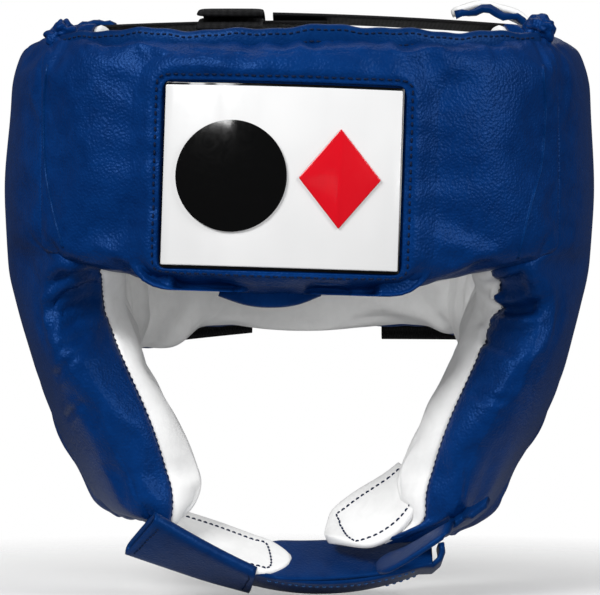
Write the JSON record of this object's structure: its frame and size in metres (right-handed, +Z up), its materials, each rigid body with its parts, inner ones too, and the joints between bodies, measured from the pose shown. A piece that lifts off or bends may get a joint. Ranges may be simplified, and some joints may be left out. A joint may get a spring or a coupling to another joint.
{
  "type": "boxing headgear",
  "caption": "Open-face padded boxing headgear: leather-covered foam ring with cheek pads, webbing crown straps, rear hook-and-loop closure and adjustable chin strap.",
  "frame": {"origin": "middle of the head cavity, on the level of the brow pad's lower edge", "axes": "+Z up towards the crown, the face opening looks along -Y, +X is the wearer's left"},
  "size_m": [0.2274, 0.2532, 0.2146],
  "materials": {
    "blue_leather": "satin grained leather, navy to royal blue",
    "white_lining": "soft matt white lining",
    "foam": "closed-cell foam",
    "black_webbing": "woven webbing",
    "hook_and_loop": "hook-and-loop pile",
    "badge_white": "glossy moulded plate",
    "badge_black": "glossy moulded plate",
    "badge_red": "glossy moulded plate"
  },
  "bodies": {
    "shell": {"brow_cover": "blue_leather", "brow_foam": "foam", "brow_lining": "white_lining", "rear_cover": "blue_leather", "rear_foam": "foam", "rear_lining": "white_lining", "left_side_cover": "blue_leather", "left_side_foam": "foam", "left_side_lining": "white_lining", "left_ear_binding": "blue_leather", "left_ear_ring": "blue_leather", "right_side_cover": "blue_leather", "right_side_foam": "foam", "right_side_lining": "white_lining", "right_ear_binding": "blue_leather", "right_ear_ring": "blue_leather", "brow_lobe": "blue_leather", "badge_frame": "badge_black", "badge_back_plate": "badge_black", "badge_plate": "badge_white", "badge_disc": "badge_black", "badge_diamond": "badge_red", "crown_cross_right": "black_webbing", "crown_cross_base": "black_webbing", "crown_front_web": "black_webbing", "crown_long_anchor": "black_webbing", "crown_flap_left": "white_lining", "crown_flap_right": "blue_leather", "corner_gusset_left": "blue_leather", "corner_gusset_right": "blue_leather", "closure_anchor": "blue_leather", "closure_loop_patch": "hook_and_loop", "rear_elastic_right": "black_webbing", "rear_elastic_left": "black_webbing", "chin_pad_right": "white_lining", "chin_pad_left": "white_lining", "chin_strap_upper": "blue_leather", "chin_keeper": "blue_leather", "chin_tab": "blue_leather", "chin_tab_loop": "hook_and_loop"},
    "closure_strap": {"closure_strap": "blue_leather", "closure_hook_patch": "hook_and_loop"},
    "crown_strap": {"crown_long_strap": "black_webbing"},
    "cross_strap": {"crown_cross_left": "black_webbing"},
    "chin_slide": {"chin_slide_end": "blue_leather"},
    "chin_tail": {"chin_tail_strap": "blue_leather", "chin_tail_hook": "hook_and_loop"}
  },
  "joints": [
    {"name": "rear_closure_swing", "type": "hinge", "parent": "shell", "child": "closure_strap", "pos_m": [-0.0822, 0.0834, 0.043], "axis": [0, 0, 1], "range_deg": [0, 90]},
    {"name": "crown_strap_lift", "type": "hinge", "parent": "shell", "child": "crown_strap", "pos_m": [-0.0245, 0.0997, 0.0943], "axis": [-1, 0, 0], "range_deg": [0, 110]},
    {"name": "cross_strap_lift", "type": "hinge", "parent": "shell", "child": "cross_strap", "pos_m": [0.0638, -0.006, 0.1026], "axis": [0, 1, 0], "range_deg": [0, 100]},
    {"name": "chin_strap_let_out", "type": "slide", "parent": "shell", "child": "chin_slide", "axis": [0.9711, 0, -0.2388], "range_m": [0, 0.012]},
    {"name": "chin_strap_swing", "type": "hinge", "parent": "chin_slide", "child": "chin_tail", "pos_m": [-0.0155, -0.059, -0.10142], "axis": [0, 1, 0], "range_deg": [0, 60]}
  ]
}
